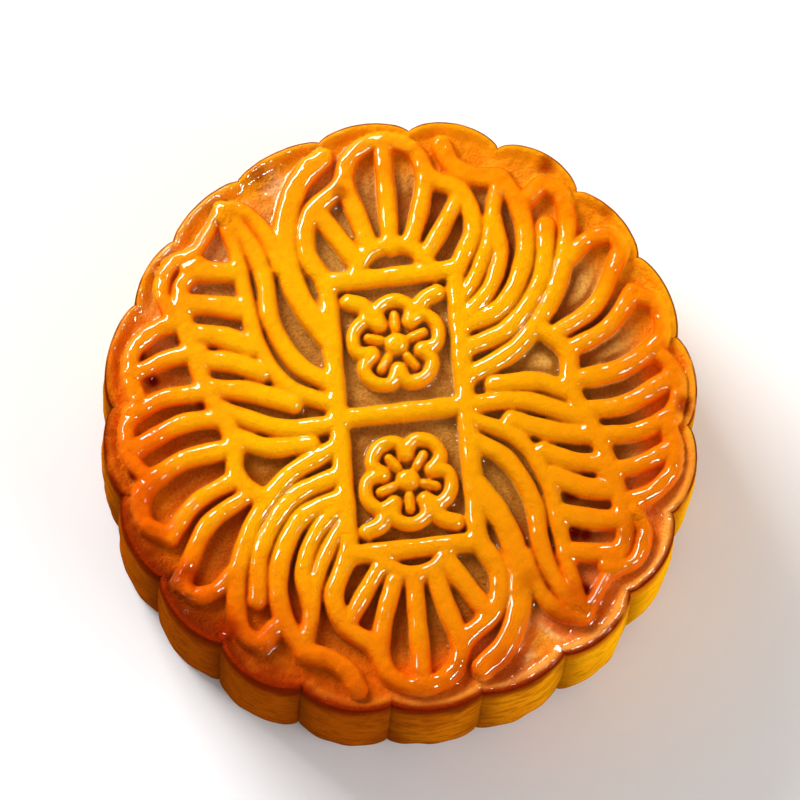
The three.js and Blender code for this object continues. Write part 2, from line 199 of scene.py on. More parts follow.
# Spots where the crust itself caught the heat: place, radius and strength.
SCORCHES = [
    (21.9, 30.0, 1.8, 0.8), (27.2, 24.8, 1.6, 0.5), (28.9, 23.3, 1.5, 0.6), (35.8, -2.7, 1.8, 0.9),
    (-14.5, 32.9, 1.6, 0.6), (-4.4, 29.0, 1.5, 0.8), (-28.5, -17.5, 2.2, 0.7), (-24.5, -24.5, 2.4, 0.7),
    (9.9, -33.3, 3.4, 0.5), (17.3, -27.6, 3.0, 0.45), (14.2, -23.2, 3.0, 0.4), (4.2, -33.0, 2.6, 0.4),
    (20.1, -25.3, 3.4, 0.45), (27.0, -18.0, 2.8, 0.35),
]
# Where the wash is still thick, glossy and wrinkled: place, radius and strength.
WET_SPOTS = [
    (-19.5, 28.2, 2.2, 1.0), (-13.9, 32.4, 2.2, 0.9), (-29.3, 22.2, 1.3, 0.7), (21.8, -29.8, 2.4, 1.0),
    (20.0, -26.6, 1.4, 0.9), (26.4, -25.1, 2.0, 0.5), (28.1, -15.7, 1.2, 0.8), (-13.7, -26.1, 1.5, 0.9),
    (-31.8, -16.6, 1.5, 0.8), (-29.1, -20.3, 2.0, 0.8), (-26.3, -25.6, 2.0, 0.8), (-20.3, -28.1, 2.5, 0.8),
]

# ---- How the ridges are shaped ----
# A ridge rises steeply over FLANK from its edge to FLANK_SHARE of its crown's height, and gently to
# the whole of it over CROWN_REACH. Ridges fuse with each other over FUSE and blend with the floor over
# BLEND, and outside its edge a ridge falls away at SKIRT_SLOPE.
RIDGE_SPREAD = 0.35
FLANK = 0.95
FLANK_POWER = 2.3
FLANK_SHARE = 0.93
CROWN_REACH = 1.6 * FLANK
FUSE = 0.18
SKIRT_SLOPE = 3.0
BLEND = 0.1

# How far outside its edge a ridge still shapes the surface, what is felt of the ridges where there is
# none, and the radii between which the ornament runs out.
FELT_REACH = 1.2
NO_RIDGE = 1e-9
ORNAMENT_FADE = (RIM_RADIUS - 1.4, RIM_RADIUS - 0.1)

# Unevenness: of the ridges' widths and crowns, as shares, and then of the surfaces.
WAVER_LENGTHS = (4.0, 7.0, 13.0)
WIDTH_WAVER = 0.06
CROWN_WAVER = 0.05
LUMP_LENGTHS = np.geomspace(1.1, 3.2, 12)
LUMPS = 0.03
RIM_LUMPS = 0.09
RIM_LUMPS_BETWEEN = (29, 35)
WALL_LUMPS = 0.09
# Waves round the wall: how many, how fast they shift with the height, and where they start.
WALL_WAVES = ((13, 0.19, 0.4), (22, 0.31, 2.1), (31, -0.26, 3.9), (47, 0.12, 5.2), (64, -0.43, 1.3))

# ---- How finely the mesh is made ----
# Steps along a ridge's middle line, and between the samples of a ridge. The rows of samples lie at
# these shares of its half width, and leave out what is deeper inside another ridge by OVERLAP.
LINE_STEP = 0.35
ALONG_STEP = 0.34
SHARES = (0.0, 0.28, 0.5, 0.68, 0.82, 0.93, 1.0, 1.1)
OVERLAP = 0.02

# The closest that samples may be, the grid that fills the rest of the top, and the width of the cells
# by which neighbours are looked up.
CLOSEST = 0.11
FILL_STEP = 0.3
FILL_CLOSEST = 0.66 * FILL_STEP
CELL = 0.2

# Rings of vertices at these angles round the rim's shoulder, the last two just inside it, and the
# columns of vertices in each lobe, drawn together near the creases.
SHOULDER_BENDS = (math.pi / 2, 1.25, 0.94, 0.63, 0.31, 0.0, -0.35, -0.7)
LOBE_COLUMNS = 40
COLUMN_EASING = 0.6
WALL_ROWS = 24
FOOT_ROWS = 5

# The grid that fills the base, and how far inside the base's edge it stays.
BASE_STEP = 1.6
BASE_MARGIN = 0.6

# Points that lie closer than this count as one when triangles are made.
WELD = 1e-7

# How often the guesses at a radius and at an angle are bettered, and how often the vertices' numbers
# are averaged with their neighbours'.
RADIUS_ROUNDS = 30
ANGLE_ROUNDS = 20
HOLLOW_ROUNDS = 14
SOFT_ROUNDS = 2


def smoothstep(low, high, value):
    """0 below low and 1 above high, with a smooth change between."""
    share = np.clip((value - low) / (high - low), 0, 1)
    return share * share * (3 - 2 * share)


# ---- Curves ----
def curve_through(path, pieces=24):
    """Points along the centripetal Catmull-Rom curve through a path."""
    path = np.asarray(path, float)
    knots = np.vstack([2 * path[0] - path[1], path, 2 * path[-1] - path[-2]])
    share = np.linspace(0, 1, pieces, endpoint=False)[:, None]
    spans = []
    for before, start, end, after in zip(knots, knots[1:], knots[2:], knots[3:]):
        first, middle, last = (
            math.sqrt(np.linalg.norm(b - a)) for a, b in ((before, start), (start, end), (end, after))
        )
        leaving = (start - before) / first - (end - before) / (first + middle) + (end - start) / middle
        coming = (end - start) / middle - (after - start) / (middle + last) + (after - end) / last
        spans.append(
            (2 * share**3 - 3 * share**2 + 1) * start
            + (share**3 - 2 * share**2 + share) * middle * leaving
            + (3 * share**2 - 2 * share**3) * end
            + (share**3 - share**2) * middle * coming
        )
    return np.vstack([*spans, path[-1:]])


def even_steps(line, step):
    """The same line with its points at equal steps of about the given length."""
    travelled = np.concatenate([[0], np.cumsum(np.linalg.norm(np.diff(line, axis=0), axis=1))])
    count = max(2, round(travelled[-1] / step) + 1)
    at = np.linspace(0, travelled[-1], count)
    return np.column_stack([np.interp(at, travelled, line[:, axis]) for axis in (0, 1)])


def stamped(points):
    """Points of the ornament, moved and leant as the stamp left them."""
    return np.column_stack([points[:, 0] + STAMP_LEAN * points[:, 1] + STAMP_X, points[:, 1] + STAMP_Y])


# ---- Ridges ----
rng = np.random.default_rng(8)


def waver(distance, size):
    """A smooth random unevenness along a line."""
    total = np.zeros_like(distance)
    for length in WAVER_LENGTHS:
        total += np.sin(distance * 2 * math.pi / length + rng.uniform(0, 2 * math.pi))
    return size * total / len(WAVER_LENGTHS)


class Ridge:
    """One raised line: its middle line, and its half width and crown height at each point of it."""

    def __init__(self, path, width, crown=RELIEF_HEIGHT, straight=False):
        line = np.asarray(path, float) if straight else curve_through(path)
        self.line = even_steps(stamped(line), LINE_STEP)
        distance = np.arange(len(self.line)) * LINE_STEP
        self.half = (width + RIDGE_SPREAD) / 2 * (1 + waver(distance, WIDTH_WAVER))
        self.crown = crown * (1 + waver(distance, CROWN_WAVER))

    def nearest(self, points):
        """How far points are from the middle line, and how many steps along it they are."""
        start = self.line[:-1]
        step = np.diff(self.line, axis=0)
        offset = points[:, None, :] - start[None]
        along = np.clip((offset * step).sum(2) / (step**2).sum(1), 0, 1)
        apart = ((offset - along[..., None] * step) ** 2).sum(2)
        best = apart.argmin(1)
        row = np.arange(len(points))
        return np.sqrt(apart[row, best]), best + along[row, best]

    def reach(self, points):
        """How far points are inside the ridge's edge, and the crown height there."""
        apart, along = self.nearest(points)
        steps = np.arange(len(self.line))
        return np.interp(along, steps, self.half) - apart, np.interp(along, steps, self.crown)

    def near(self, points):
        """Which points are near enough for this ridge to shape the surface there."""
        reach = self.half.max() + FELT_REACH
        low = self.line.min(0) - reach
        high = self.line.max(0) + reach
        return np.flatnonzero(((points > low) & (points < high)).all(1))

    def samples(self, share, shift):
        """Points at a share of the half width, on both sides and round both ends."""
        count = max(2, round(len(self.line) * LINE_STEP / ALONG_STEP))
        steps = np.arange(len(self.line))
        at = np.linspace(0, steps[-1], count)
        if shift:
            at = (at[:-1] + at[1:]) / 2
        middle = np.column_stack([np.interp(at, steps, self.line[:, axis]) for axis in (0, 1)])
        slope = np.gradient(self.line, axis=0)
        tangent = np.column_stack([np.interp(at, steps, slope[:, axis]) for axis in (0, 1)])
        tangent /= np.linalg.norm(tangent, axis=1)[:, None]
        if share == 0:
            return middle
        normal = np.column_stack([-tangent[:, 1], tangent[:, 0]])
        out = (share * np.interp(at, steps, self.half))[:, None] * normal
        rows = [middle + out, middle - out]
        for end, inward in ((0, 1), (-1, -1)):
            radius = share * self.half[end]
            arc = max(2, round(math.pi * radius / ALONG_STEP))
            turn = np.pi * (np.arange(arc) + 0.5) / arc - math.pi / 2
            away = -inward * slope[end] / np.linalg.norm(slope[end])
            aside = np.array([-away[1], away[0]])
            round_end = np.cos(turn)[:, None] * away + np.sin(turn)[:, None] * aside
            rows.append(self.line[end] + radius * round_end)
        return np.vstack(rows)


def turned(path, turn, drop=0):
    """A path lowered by a drop, and before that turned half a turn where turn is -1."""
    return [(turn * x, turn * y - drop) for x, y in path]


def frame_ridges():
    """The frame's four bars, and a fifth that parts it into two panels."""
    x, y = FRAME_HALF_WIDTH, FRAME_HALF_LENGTH
    ends = [(x, -y), (x, y), (-x, y), (-x, -y), (x, -y)]
    bars = list(zip(ends, ends[1:])) + [((-x, 0), (x, 0))]
    return [Ridge([start, end], FRAME_BAR, straight=True) for start, end in bars]


def blossom_ridges(side):
    """The blossom of one panel: a heart, petals drawn as arcs between short rays, and two leaves."""
    middle = side * BLOSSOM["middle_y"]
    ring = BLOSSOM["ring"]
    step = 2 * math.pi / BLOSSOM["petals"]

    def spot(radius, angle):
        return radius * math.cos(angle), middle + radius * math.sin(angle)

    half = BLOSSOM["heart_half_length"]
    ridges = [Ridge([(-half, middle), (half, middle)], BLOSSOM["heart"], straight=True)]
    first = side * math.pi / 2
    for petal in range(BLOSSOM["petals"]):
        angle = first + petal * step
        path = [spot(reach * ring, angle + share * step) for share, reach in PETAL_PATH]
        ridges.append(Ridge(path, BLOSSOM["line"]))
        path = [spot(reach * ring, angle) for reach in RAY_ENDS]
        ridges.append(Ridge(path, BLOSSOM["ray"], straight=True))
    for half_turn in (-0.5 * step, 0.5 * step):
        path = [spot(reach * ring, first + share * half_turn) for share, reach in LEAF_PATH]
        ridges.append(Ridge(path, BLOSSOM["leaf"]))
    return ridges


def ornament_ridges():
    """All the ridges of the top."""
    ridges = frame_ridges() + blossom_ridges(1) + blossom_ridges(-1)
    for turn, own in ((1, FIRST_HALF), (-1, SECOND_HALF)):
        for group in (FAN, STRANDS, PETALS, LEAF, own):
            drop = PETALS_DROP if group is PETALS else 0
            ridges += [Ridge(turned(path, turn, drop), width) for width, path in group.values()]
    return ridges


# ---- The cake's outline and profile ----
def lobe_phase(angle):
    """Which lobe an angle falls in, counted from the first crease; a whole number is a crease."""
    away = np.arctan2(np.sin(angle - SQUEEZED_LOBE["angle"]), np.cos(angle - SQUEEZED_LOBE["angle"]))
    drift = SQUEEZED_LOBE["shift"] * np.exp(-((away / SQUEEZED_LOBE["reach"]) ** 2))
    return (angle + drift - NOTCH_ANGLE) * LOBE_COUNT / (2 * math.pi)


def outline_offset(angle):
    """How far the cake's outline lies outside a circle of the rim's radius."""
    phase = lobe_phase(angle)
    fullness = np.abs(np.sin(math.pi * phase)) ** LOBE_ROUNDNESS
    reach = np.array(LOBE_REACH)[np.floor(phase).astype(int) % LOBE_COUNT]
    oval = RIM_OVAL * np.cos(2 * (angle - RIM_OVAL_ANGLE))
    return oval + reach * fullness - NOTCH_DEPTH * (1 - fullness)


def pushed_out(radius, angle):
    """How far the lobes push the top outwards, at a radius of the round body."""
    return smoothstep(RIM_RADIUS - 2 * LIP_WIDTH, SHOULDER_START, radius) * outline_offset(angle)


def round_radius(radius, angle):
    """The radius on the round body that the lobes bring to the given radius."""
    guess = radius.copy()
    for _ in range(RADIUS_ROUNDS):
        guess = radius - pushed_out(guess, angle)
    return guess


def crease(angle, width=CREASE_WIDTH):
    """1 in the middle of a crease between two lobes, falling to 0 beside it."""
    phase = lobe_phase(angle)
    return np.exp(-(((phase - np.round(phase)) / width) ** 2))


def lip(radius, angle):
    """The rim's height above the floor, lower at the creases."""
    dish = np.clip((radius - SHOULDER_START) / LIP_WIDTH + 1, 0, 1)
    bead = smoothstep(SHOULDER_START - LIP_BEAD_WIDTH, SHOULDER_START, radius)
    return (LIP_HEIGHT - LIP_BEAD) * dish**2 + (LIP_BEAD - CREASE_DIP * crease(angle)) * bead


def top_points(across, angle):
    """Places on the top: across is the distance over the surface from the axis."""
    bend = np.clip((across - SHOULDER_START) / SHOULDER, 0, math.pi / 2)
    radius = np.minimum(across, SHOULDER_START) + SHOULDER * np.sin(bend)
    drop = SHOULDER * (1 - np.cos(bend))
    moved = radius + pushed_out(radius, angle)
    return moved * np.cos(angle), moved * np.sin(angle), radius, drop


def flank(inside):
    """A ridge's height, as a share of its crown, at a distance inside its edge."""
    share = np.clip(inside / FLANK, 0, 1)
    rise = (1 - (1 - share) ** FLANK_POWER) ** (1 / FLANK_POWER)
    return FLANK_SHARE * rise + (1 - FLANK_SHARE) * smoothstep(0, CROWN_REACH, inside)


def lumps(points):
    """A smooth random unevenness of a surface, of size 1."""
    total = np.zeros(len(points))
    for length in LUMP_LENGTHS:
        heading, phase = rng.uniform(0, 2 * math.pi, 2)
        along = points @ np.array([math.cos(heading), math.sin(heading)])
        total += np.sin(2 * math.pi * along / length + phase)
    return total / math.sqrt(len(LUMP_LENGTHS))


def relief(points, ridges, base):
    """Height of the top's surface above its floor, ridges and base running into each other."""
    pull = np.full(len(points), NO_RIDGE)
    crowns = np.zeros(len(points))
    for ridge in ridges:
        near = ridge.near(points)
        if len(near):
            inside, crown = ridge.reach(points[near])
            own = np.exp(inside / FUSE)
            pull[near] += own
            crowns[near] += own * crown
    inside = FUSE * np.log(pull)
    height = crowns / pull * flank(inside) + SKIRT_SLOPE * np.minimum(inside, 0)
    return BLEND * np.log(np.exp(base / BLEND) + np.exp(height / BLEND))


# ---- Sample points of the top, in the unrolled plane ----
def unrolled(points):
    """Points of the top, laid out by their distance over the surface from the axis."""
    radius = np.hypot(*points.T)
    angle = np.arctan2(points[:, 1], points[:, 0])
    across = round_radius(radius, angle)
    return np.column_stack([across * np.cos(angle), across * np.sin(angle)])


def ridge_samples(ridges):
    """Points along each ridge, where they are not deeper inside another one."""
    kept = []
    for order, share in enumerate(SHARES):
        for ridge in ridges:
            points = ridge.samples(share, order % 2)
            own = ridge.reach(points)[0]
            deepest = np.full(len(points), -np.inf)
            for other in ridges:
                near = other.near(points) if other is not ridge else ()
                if len(near):
                    deepest[near] = np.maximum(deepest[near], other.reach(points[near])[0])
            points = points[own > deepest - OVERLAP]
            kept.append(points[np.hypot(*points.T) < SHOULDER_START - NOTCH_DEPTH])
    return np.vstack(kept)


def rim_columns():
    """Angles round the rim, closer together near the creases."""
    share = np.linspace(0, 1, LOBE_COLUMNS, endpoint=False)
    eased = share - COLUMN_EASING * np.sin(2 * math.pi * share) / (2 * math.pi)
    wanted = (np.arange(LOBE_COUNT)[:, None] + eased[None]).ravel()
    angles = NOTCH_ANGLE + wanted * 2 * math.pi / LOBE_COUNT
    for _ in range(ANGLE_ROUNDS):
        angles = angles - (lobe_phase(angles) - wanted) * 2 * math.pi / LOBE_COUNT
    return angles


def fill_grid(step, reach):
    """A triangular grid of points over a disc."""
    rows = np.arange(-reach, reach, step * math.sqrt(3) / 2)
    columns = np.arange(-reach, reach, step)
    x = columns[None, :] + (np.arange(len(rows))[:, None] % 2) * step / 2
    grid = np.column_stack([x.ravel(), np.repeat(rows, len(columns))])
    return grid[np.hypot(*grid.T) < reach]


def spaced(groups):
    """Takes points group by group, leaving out those too close to one already taken.

    Those taken are kept by cells of a grid, which are wider than any group's closest spacing.
    """
    taken = {}
    kept = []
    for points, closest in groups:
        for x, y in points.tolist():
            column, row = int(x // CELL), int(y // CELL)
            clear = True
            if closest:
                for key in ((column + i, row + j) for i in (-1, 0, 1) for j in (-1, 0, 1)):
                    for other_x, other_y in taken.get(key, ()):
                        if (x - other_x) ** 2 + (y - other_y) ** 2 < closest**2:
                            clear = False
                            break
                    if not clear:
                        break
            if clear:
                taken.setdefault((column, row), []).append((x, y))
                kept.append((x, y))
    return np.array(kept)


# ---- The mesh ----
def top_mesh(ridges):
    """Vertices, triangles and the relief of the top. Its outermost ring comes first."""
    angles = rim_columns()
    bends = SHOULDER_START + SHOULDER * np.array(SHOULDER_BENDS)
    rings = [np.column_stack([across * np.cos(angles), across * np.sin(angles)]) for across in bends]
    flat = spaced([
        (np.vstack(rings), 0),
        (unrolled(ridge_samples(ridges)), CLOSEST),
        (fill_grid(FILL_STEP, bends[-1] - FILL_STEP / 2), FILL_CLOSEST),
    ])
    found = geometry.delaunay_2d_cdt([Vector(point) for point in flat.tolist()], [], [], 0, WELD)
    triangles = np.array(found[2])
    across = np.hypot(*flat.T)
    angle = np.arctan2(flat[:, 1], flat[:, 0])
    x, y, radius, drop = top_points(across, angle)
    base = lip(radius, angle)
    height = relief(np.column_stack([x, y]), ridges, base)
    crown = np.clip((height - base) / RELIEF_HEIGHT, 0, 1)
    standing = 1 - smoothstep(*ORNAMENT_FADE, radius)
    size = LUMPS + (RIM_LUMPS - LUMPS) * smoothstep(*RIM_LUMPS_BETWEEN, radius)
    uneven = lumps(np.column_stack([x, y])) * size
    height = base + (height - base) * standing + uneven
    return np.column_stack([x, y, FLOOR_Z + height - drop]), triangles, crown, len(angles)


def wall_rows():
    """Radius, height and share of the way down of each row of the wall and of its rounded foot."""
    top = LIP_Z - SHOULDER
    rows = []
    for z in np.linspace(top, BASE_EDGE, WALL_ROWS + 1)[1:]:
        down = 1 - z / top
        rows.append((RIM_RADIUS + BASE_FLARE * down + BELLY * (1 - (2 * down - 1) ** 2), z, down))
    last = rows[-1][0]
    for bend in np.linspace(0, math.pi / 2, FOOT_ROWS + 1)[1:]:
        rows.append((last - BASE_EDGE * (1 - math.cos(bend)), BASE_EDGE * (1 - math.sin(bend)), 1.0))
    return rows


def wall_lumps(angles, z):
    """A smooth unevenness of the wall, the same at every call."""
    total = np.zeros_like(angles)
    for turns, rise, phase in WALL_WAVES:
        total += np.sin(turns * angles + rise * z + phase)
    return WALL_LUMPS * total / math.sqrt(len(WALL_WAVES))


def wall_mesh(columns, first):
    """Rows of the wall's vertices, its triangles, and the numbers of the vertices in its last row.

    The vertices are numbered from first on, and the wall hangs from the top's outermost ring.
    """
    angles = rim_columns()
    rows = []
    faces = []
    above = np.arange(columns)
    below = first + above
    for radius, z, down in wall_rows():
        uneven = wall_lumps(angles, z) * math.sin(math.pi * min(down, 0.5))
        lobed = radius + outline_offset(angles) + uneven
        x = lobed * np.cos(angles) + BASE_SHIFT[0] * down
        y = lobed * np.sin(angles) + BASE_SHIFT[1] * down
        rows.append(np.column_stack([x, y, np.full(columns, z)]))
        right, right_below = np.roll(above, -1), np.roll(below, -1)
        faces.append(np.column_stack([above, below, right_below]))
        faces.append(np.column_stack([above, right_below, right]))
        above, below = below, below + columns
    return rows, faces, above


def base_mesh(edge, numbers):
    """Vertices inside the wall's last row, and the triangles that close the cake's underside."""
    count = len(edge)
    inner = fill_grid(BASE_STEP, np.hypot(*edge.T).min() - BASE_MARGIN)
    border = [(i, (i + 1) % count) for i in range(count)]
    corners = [Vector(point) for point in np.vstack([edge, inner]).tolist()]
    under = np.array(geometry.delaunay_2d_cdt(corners, border, [], 1, WELD)[2])[:, ::-1]
    numbers = np.concatenate([numbers, numbers[-1] + 1 + np.arange(len(inner))])
    return np.column_stack([inner, np.zeros(len(inner))]), numbers[under]


def mesh_from(name, vertices, faces):
    """A smoothly shaded mesh of triangles, its vertices given in millimetres."""
    mesh = bpy.data.meshes.new(name)
    mesh.vertices.add(len(vertices))
    mesh.vertices.foreach_set("co", (vertices * MM).astype(np.float32).ravel())
    mesh.loops.add(3 * len(faces))
    mesh.loops.foreach_set("vertex_index", faces.astype(np.int32).ravel())
    mesh.polygons.add(len(faces))
    mesh.polygons.foreach_set("loop_start", np.arange(0, 3 * len(faces), 3, dtype=np.int32))
    mesh.update(calc_edges=True)
    mesh.shade_smooth()
    return mesh


def smoothed(values, edges, rounds):
    """Values averaged over neighbouring vertices, several times over."""
    count = len(values)
    ends = np.concatenate([edges[:, 0], edges[:, 1]])
    others = np.concatenate([edges[:, 1], edges[:, 0]])
    neighbours = np.bincount(ends, minlength=count)
    for _ in range(rounds):
        values = np.bincount(ends, weights=values[others], minlength=count) / neighbours
    return values


def blobs(points, spots):
    """1 in the middle of each spot, falling to 0 at its radius. A spot is (x, y, radius, strength)."""
    total = np.zeros(len(points))
    for x, y, radius, strength in spots:
        away = np.hypot(points[:, 0] - x, points[:, 1] - y) / radius
        total = np.maximum(total, strength * (1 - smoothstep(0.3, 1, away)))
    return total


def add_fields(mesh, vertices, crown):
    """Stores numbers at the vertices, for the material to read.

    raised is 0 on a floor and 1 on a ridge's crown, hollow is how far a place lies below those round
    it, and inset is how far it lies inside the cake's outline, both in millimetres. The other fields
    are 1 where they apply and 0 elsewhere.
    """
    edges = np.empty(2 * len(mesh.edges), dtype=np.int32)
    mesh.edges.foreach_get("vertices", edges)
    edges = edges.reshape(-1, 2)
    height = vertices[:, 2]
    on_top = np.arange(len(vertices)) < len(crown)
    angle = np.arctan2(vertices[:, 1], vertices[:, 0])
    inset = RIM_RADIUS + outline_offset(angle) - np.hypot(vertices[:, 0], vertices[:, 1])
    raised = np.zeros(len(vertices))
    raised[:len(crown)] = crown
    low = 1 - smoothstep(0.35, 0.9, raised)
    hollow = np.where(on_top, smoothed(height, edges, HOLLOW_ROUNDS) - height, 0)
    fields = {
        "raised": raised,
        "hollow": smoothed(hollow, edges, SOFT_ROUNDS),
        "inset": np.where(on_top, inset, 0),
        "wall": smoothed(np.where(on_top, 0.0, 1.0), edges, SOFT_ROUNDS),
        # The crease field carries the painted shade of the wall's creases.
        "crease": crease(angle, CREASE_SHADE_WIDTH),
        "pool": blobs(vertices, POOLS) * low,
        "scorch": blobs(vertices, SCORCHES),
        "wet": blobs(vertices, WET_SPOTS) * on_top * smoothstep(0.5, 1.1, inset),
    }
    for name, values in fields.items():
        mesh.attributes.new(name, "FLOAT", "POINT").data.foreach_set("value", values.astype(np.float32))


def build_cake():
    """The cake as one object, with the numbers that its material reads."""
    top, triangles, crown, columns = top_mesh(ornament_ridges())
    rows, sides, last_row = wall_mesh(columns, len(top))
    inner, under = base_mesh(rows[-1][:, :2], last_row)
    vertices = np.vstack([top, *rows, inner])
    mesh = mesh_from("crust", vertices - [*CENTRE, 0], np.vstack([triangles, *sides, under]))
    add_fields(mesh, vertices, crown)
    cake = bpy.data.objects.new("crust", mesh)
    bpy.context.scene.collection.objects.link(cake)
    return cake


# ---- Directions of the photograph ----
PHOTO_TURN = math.radians(6.5)
PHOTO_RIGHT = Vector((math.cos(PHOTO_TURN), -math.sin(PHOTO_TURN), 0))
PHOTO_AWAY = Vector((math.sin(PHOTO_TURN), math.cos(PHOTO_TURN), 0))
UP = Vector((0, 0, 1))

# ---- Materials ----
# The crust's colours. The first of a pair is for places that are lightly baked or far in, and the
# second for places that are darkly baked or far out.
CROWN = ("#FCAF04", "#FC9808")
CROWN_TIP = ("#F88404", "#EC6404")
# Painted shade on the crowns towards the front right.
CROWN_SHADE_FRONT_RIGHT = "#DE7204"
SLOPE = ("#F49406", "#EC6004")
PIT = ("#FFC862", "#BC6E1E")
PIT_SPECKS = ("#C48634", "#70360C")
PEACH_BAY = ("#FFA034", "#FFA02C")
PALE_PEACH_BAY = ("#FFC480", "#FFC272")
GOLDEN_BAY = "#FA9410"
PALE_GOLDEN_BAY = "#FFA81E"
BAY_SPECKS = "#DA7208"
# Painted shade at the feet of the ridges.
RIDGE_FOOT_SHADE = ("#94560A", "#A03C04")
NOOK = "#D05C04"
NOOK_FRONT_RIGHT = "#F26A08"
RIM_BACK = "#FF9E0C"
RIM_FRONT_LEFT = "#F07C1A"
RIM_FRONT_RIGHT = "#FFA43A"
LEFT_BAKE = "#E65C04"
DARK_BAKE_FLOOR = "#B03E06"
DARK_BAKE_CROWN = "#B84604"
DARKEST_BAKE = "#7E2A06"
EDGE = "#821C04"
SEAM = "#962A04"
CONTOUR = "#701C02"
SCORCH = "#A02402"
POOL = "#7C1002"
WALL = ("#FFAE0A", "#DC7C08")
WALL_DARK_BAKE = "#A64A04"
WALL_GRAIN = ("#E48E08", "#662804")
WALL_MOTTLE = "#A86008"
# Painted shade in the creases of the wall.
WALL_CREASE_SHADE = "#6A2A04"
WALL_FOOT = ("#B8660C", "#7A3404")
WALL_TOP = ("#D8700C", "#621404")

CRUST_SHADER = {
    "Roughness": 0.5,
    "Specular IOR Level": 0.0,
    "Coat Roughness": 0.07,
    "Subsurface Weight": 0.15,
    "Subsurface Scale": 0.001,
    "Subsurface Radius": (1.0, 0.45, 0.15),
}
BUMP_STRENGTH = 0.8
BUMP_DEPTH = 0.15


def linear(code):
    """A linear colour from a hex code."""
    parts = [int(code[i:i + 2], 16) / 255 for i in (1, 3, 5)]
    return [c / 12.92 if c < 0.04045 else ((c + 0.055) / 1.055) ** 2.4 for c in parts] + [1.0]


class Graph:
    """Builds a material's nodes. Inputs can be given as sockets, as numbers and as hex codes."""

    def __init__(self, name):
        self.material = bpy.data.materials.new(name)
        self.material.use_nodes = True
        self.nodes = self.material.node_tree.nodes
        self.links = self.material.node_tree.links
        self.shader = self.nodes["Principled BSDF"]

    def put(self, value, socket):
        if isinstance(value, bpy.types.NodeSocket):
            self.links.new(value, socket)
        else:
            socket.default_value = linear(value) if isinstance(value, str) else value

    def field(self, name):
        node = self.nodes.new("ShaderNodeAttribute")
        node.attribute_name = name
        return node.outputs["Fac"]

    def calc(self, operation, *values):
        node = self.nodes.new("ShaderNodeMath")
        node.operation = operation
        for value, socket in zip(values, node.inputs):
            self.put(value, socket)
        return node.outputs[0]

    def plus(self, first, second):
        return self.calc("ADD", first, second)

    def times(self, product, *others):
        for other in others:
            product = self.calc("MULTIPLY", product, other)
        return product

    def between(self, none, full, share):
        """A number that goes from none to full as the share goes from 0 to 1."""
        return self.calc("MULTIPLY_ADD", share, full - none, none)

    def step(self, low, high, value):
        """0 below low and 1 above high, with a smooth change between. The two may be swapped."""
        node = self.nodes.new("ShaderNodeMapRange")
        node.interpolation_type = "SMOOTHSTEP"
        flipped = low > high
        self.put(value, node.inputs["Value"])
        node.inputs["From Min"].default_value = min(low, high)
        node.inputs["From Max"].default_value = max(low, high)
        node.inputs["To Min"].default_value = float(flipped)
        node.inputs["To Max"].default_value = float(not flipped)
        return node.outputs["Result"]

    def mix(self, share, first, second):
        node = self.nodes.new("ShaderNodeMix")
        node.data_type = "RGBA"
        node.clamp_factor = True
        self.put(share, node.inputs["Factor"])
        self.put(first, node.inputs[6])
        self.put(second, node.inputs[7])
        return node.outputs[2]

    def over(self, colour, laid, *shares):
        """A colour with another one laid over it, as thickly as the product of the shares."""
        return self.mix(self.times(*shares), colour, laid)

    def place(self, stretch=(1, 1, 1)):
        """A point of the surface in millimetres, stretched for grain that has a direction."""
        node = self.nodes.new("ShaderNodeVectorMath")
        node.operation = "MULTIPLY"
        self.links.new(self.nodes.new("ShaderNodeTexCoord").outputs["Object"], node.inputs[0])
        node.inputs[1].default_value = [part / MM for part in stretch]
        return node.outputs[0]

    def noise(self, size, detail=2.0, roughness=0.5, stretch=(1, 1, 1)):
        """Cloudy noise from 0 to 1, its features about the given size in millimetres."""
        node = self.nodes.new("ShaderNodeTexNoise")
        self.links.new(self.place(stretch), node.inputs["Vector"])
        node.inputs["Scale"].default_value = 1 / size
        node.inputs["Detail"].default_value = detail
        node.inputs["Roughness"].default_value = roughness
        return node.outputs["Fac"]

    def around(self, noise, spread):
        """Noise brought to spread evenly round zero."""
        return self.calc("MULTIPLY", self.calc("SUBTRACT", noise, 0.5), spread)

    def direction(self, right, away, up=0):
        """How far a point lies in a direction of the photograph, in millimetres."""
        node = self.nodes.new("ShaderNodeVectorMath")
        node.operation = "DOT_PRODUCT"
        self.links.new(self.place(), node.inputs[0])
        node.inputs[1].default_value = right * PHOTO_RIGHT + away * PHOTO_AWAY + up * UP
        return node.outputs["Value"]

    def side(self, right, away, low, high, noise=None, spread=0):
        """0 to 1 as a point lies low to high millimetres in a direction, with a wandering border."""
        reach = self.direction(right, away)
        if noise is not None:
            reach = self.plus(reach, self.around(noise, spread))
        return self.step(low, high, reach)

    def middle_distance(self):
        """How far a point lies from the cake's axis, in millimetres."""
        node = self.nodes.new("ShaderNodeVectorMath")
        node.operation = "LENGTH"
        self.links.new(self.place((1, 1, 0)), node.inputs[0])
        return node.outputs["Value"]


